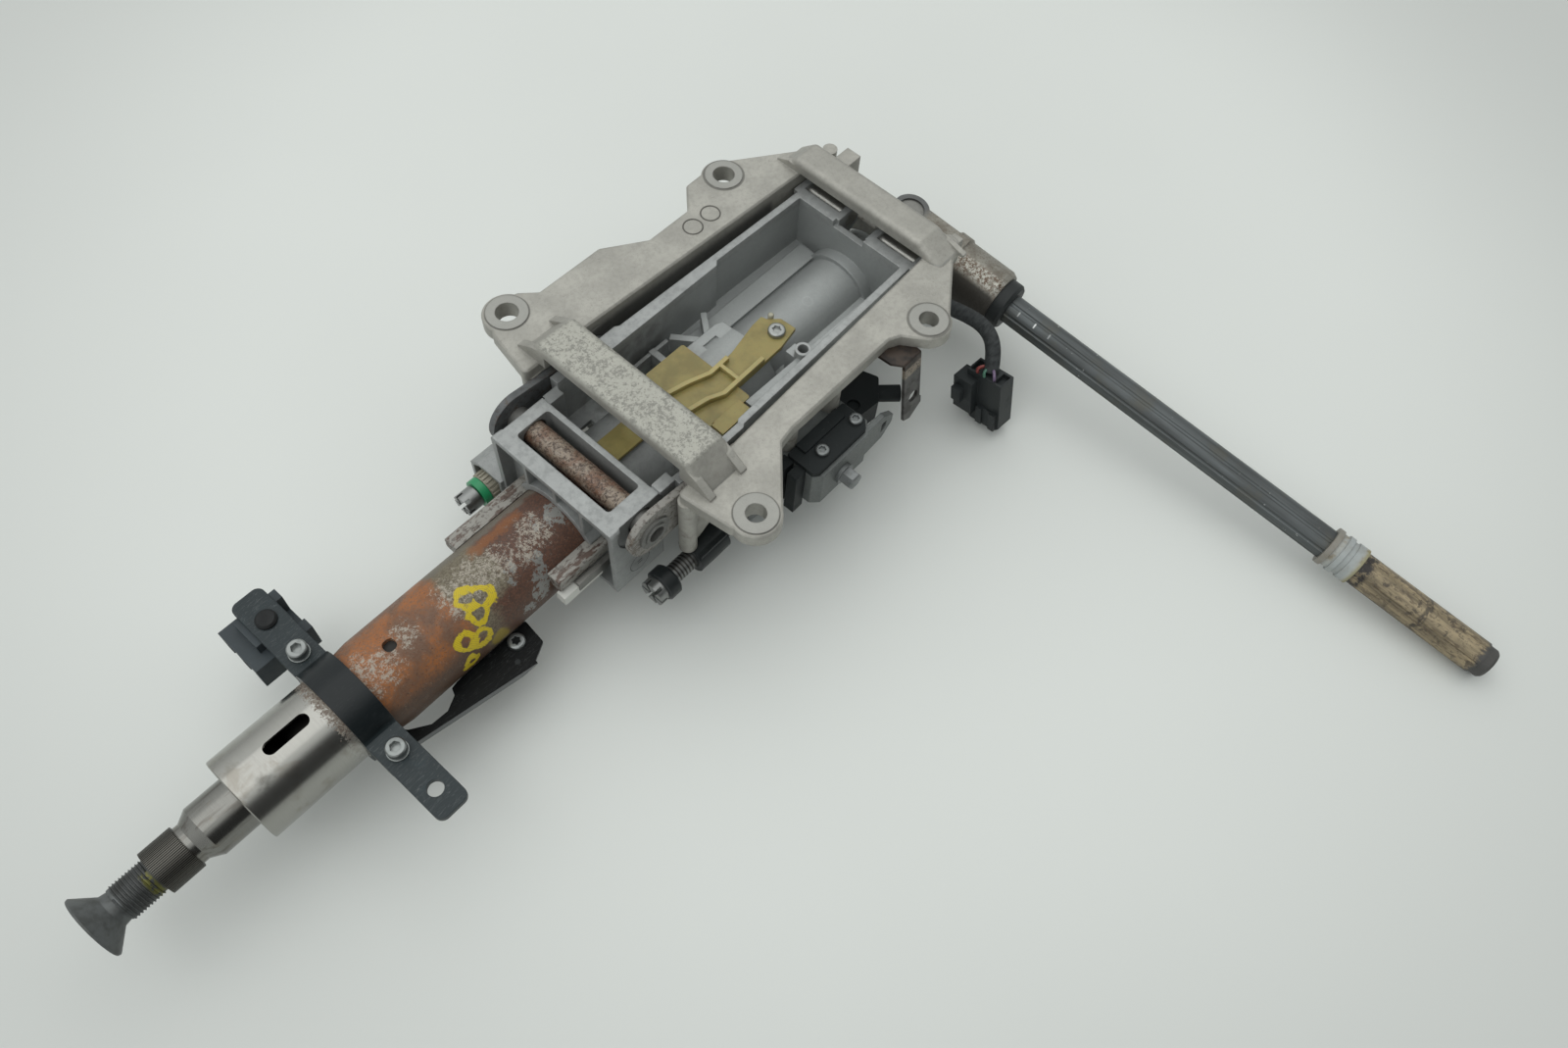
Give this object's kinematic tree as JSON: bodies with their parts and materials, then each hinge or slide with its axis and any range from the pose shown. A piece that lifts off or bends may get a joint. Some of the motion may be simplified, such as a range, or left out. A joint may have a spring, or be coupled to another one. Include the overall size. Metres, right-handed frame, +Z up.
{
  "type": "steering column",
  "caption": "Electrically adjusted steering column in a cast mounting bracket, with swing levers, spindles, telescoping tube and a folded intermediate shaft.",
  "frame": {"origin": "midway between the two front bolt holes, in the plane of the boss faces that bolt up to the car", "axes": "+X runs back along the column from the wheel end to the universal joint, +Y to the side with the larger bolt holes, +Z up through the mounting bosses"},
  "size_m": [0.5437, 0.4788, 0.1095],
  "materials": {
    "cast_aluminium": "as cast, satin",
    "housing_aluminium": "as cast, satin",
    "gear_case_metal": "as cast",
    "rusty_steel": "light rust",
    "tube_steel": "rusted, worn plating",
    "bright_steel": "machined",
    "yoke_steel": "worn plating",
    "dark_steel": "satin",
    "black_paint": "satin",
    "black_plastic": "moulded",
    "motor_can": "plated",
    "yellow_plastic": "translucent, moulded",
    "cream_plastic": "moulded",
    "green_plastic": "moulded",
    "brown_plastic": "greased",
    "harness_tape": "woven tape"
  },
  "bodies": {
    "mount_bracket": {"bracket_casting": "cast_aluminium", "stamped_tab": "rusty_steel", "lever_pin_left": "bright_steel", "lever_pin_right": "bright_steel", "tilt_gear_case": "gear_case_metal", "tilt_gear_cover": "black_plastic", "gear_case_bolt": "bright_steel", "tilt_motor": "motor_can", "sensor_block": "black_plastic", "harness_clip": "black_plastic", "harness": "harness_tape", "connector": "black_plastic"},
    "tilt_housing": {"housing_casting": "housing_aluminium", "guide_plate": "yellow_plastic", "pivot_pin_left": "bright_steel", "pivot_pin_right": "bright_steel", "lower_bearing": "bright_steel", "reach_gear_case": "gear_case_metal", "reach_motor": "motor_can", "spindle_bearing": "cream_plastic", "outer_rail": "bright_steel", "roller_cage": "cream_plastic"},
    "reach_tube": {"column_tube": "tube_steel", "front_sleeve": "bright_steel", "upper_bearing": "bright_steel", "clamp_upper": "black_paint", "clamp_lower": "black_paint", "clamp_screw_left": "bright_steel", "clamp_screw_right": "bright_steel", "ear_clip": "black_plastic", "stamped_arm": "black_paint", "tube_rail_left": "rusty_steel", "tube_rail_right": "rusty_steel", "reach_carrier": "bright_steel"},
    "upper_shaft": {"upper_shaft": "bright_steel", "wheel_bolt": "bright_steel"},
    "lower_shaft": {"lower_shaft": "bright_steel", "input_yoke": "yoke_steel", "input_cup_left": "bright_steel", "input_cup_right": "bright_steel"},
    "joint_cross": {"joint_cross": "bright_steel"},
    "intermediate_shaft": {"output_yoke": "yoke_steel", "output_cup_top": "bright_steel", "output_cup_bottom": "bright_steel", "seal_collar": "black_plastic", "fluted_tube": "dark_steel", "ribbed_sleeve": "cream_plastic", "sliding_end": "brown_plastic"},
    "tilt_lever": {"lever_left": "rusty_steel", "lever_right": "rusty_steel", "cross_pin": "rusty_steel"},
    "tilt_nut": {"tilt_nut": "black_plastic"},
    "tilt_spindle": {"tilt_spindle": "bright_steel", "spindle_ring": "black_plastic"},
    "reach_spindle": {"reach_spindle": "bright_steel", "green_ring": "green_plastic"}
  },
  "joints": [
    {"name": "tilt", "type": "hinge", "parent": "mount_bracket", "child": "tilt_housing", "pos_m": [0.177, 0, -0.015], "axis": [0, 1, 0], "range_deg": [-2, 2]},
    {"name": "reach", "type": "slide", "parent": "tilt_housing", "child": "reach_tube", "axis": [1, 0, 0], "range_m": [-0.03, 0.018]},
    {"name": "steering", "type": "hinge", "parent": "tilt_housing", "child": "lower_shaft", "pos_m": [0.166, 0, -0.049], "axis": [1, 0, 0], "continuous": true},
    {"name": "wheel_turn", "type": "hinge", "parent": "reach_tube", "child": "upper_shaft", "pos_m": [-0.223, 0, -0.049], "axis": [1, 0, 0], "continuous": true},
    {"name": "joint_input", "type": "hinge", "parent": "lower_shaft", "child": "joint_cross", "pos_m": [0.2195, 0, -0.049], "axis": [0, 0.9954, 0.0958], "range_deg": [-25, 25]},
    {"name": "joint_output", "type": "hinge", "parent": "joint_cross", "child": "intermediate_shaft", "pos_m": [0.2195, 0, -0.049], "axis": [0, -0.0958, 0.9954], "range_deg": [0, 120]},
    {"name": "lever_swing", "type": "hinge", "parent": "mount_bracket", "child": "tilt_lever", "pos_m": [0.022, 0, -0.02], "axis": [0, 1, 0], "range_deg": [-7.86, 7.86]},
    {"name": "tilt_nut_travel", "type": "slide", "parent": "mount_bracket", "child": "tilt_nut", "axis": [1, 0, 0], "range_m": [-0.00549, 0.00549]},
    {"name": "tilt_spindle_turn", "type": "hinge", "parent": "mount_bracket", "child": "tilt_spindle", "pos_m": [0.05, -0.054, -0.06], "axis": [1, 0, 0], "range_deg": [-494, 494]},
    {"name": "reach_spindle_turn", "type": "hinge", "parent": "tilt_housing", "child": "reach_spindle", "pos_m": [0.06, 0.0495, -0.062], "axis": [1, 0, 0], "range_deg": [-1800, 1080]}
  ],
  "couplings": [
    {"joint": "lever_swing", "follows": "tilt", "ratio": 3.9245},
    {"joint": "tilt_nut_travel", "follows": "tilt", "m_per_rad": -0.15698},
    {"joint": "tilt_spindle_turn", "follows": "tilt", "ratio": 246.59},
    {"joint": "reach_spindle_turn", "follows": "reach", "rad_per_m": 1047.2},
    {"joint": "wheel_turn", "follows": "steering", "ratio": 1}
  ]
}
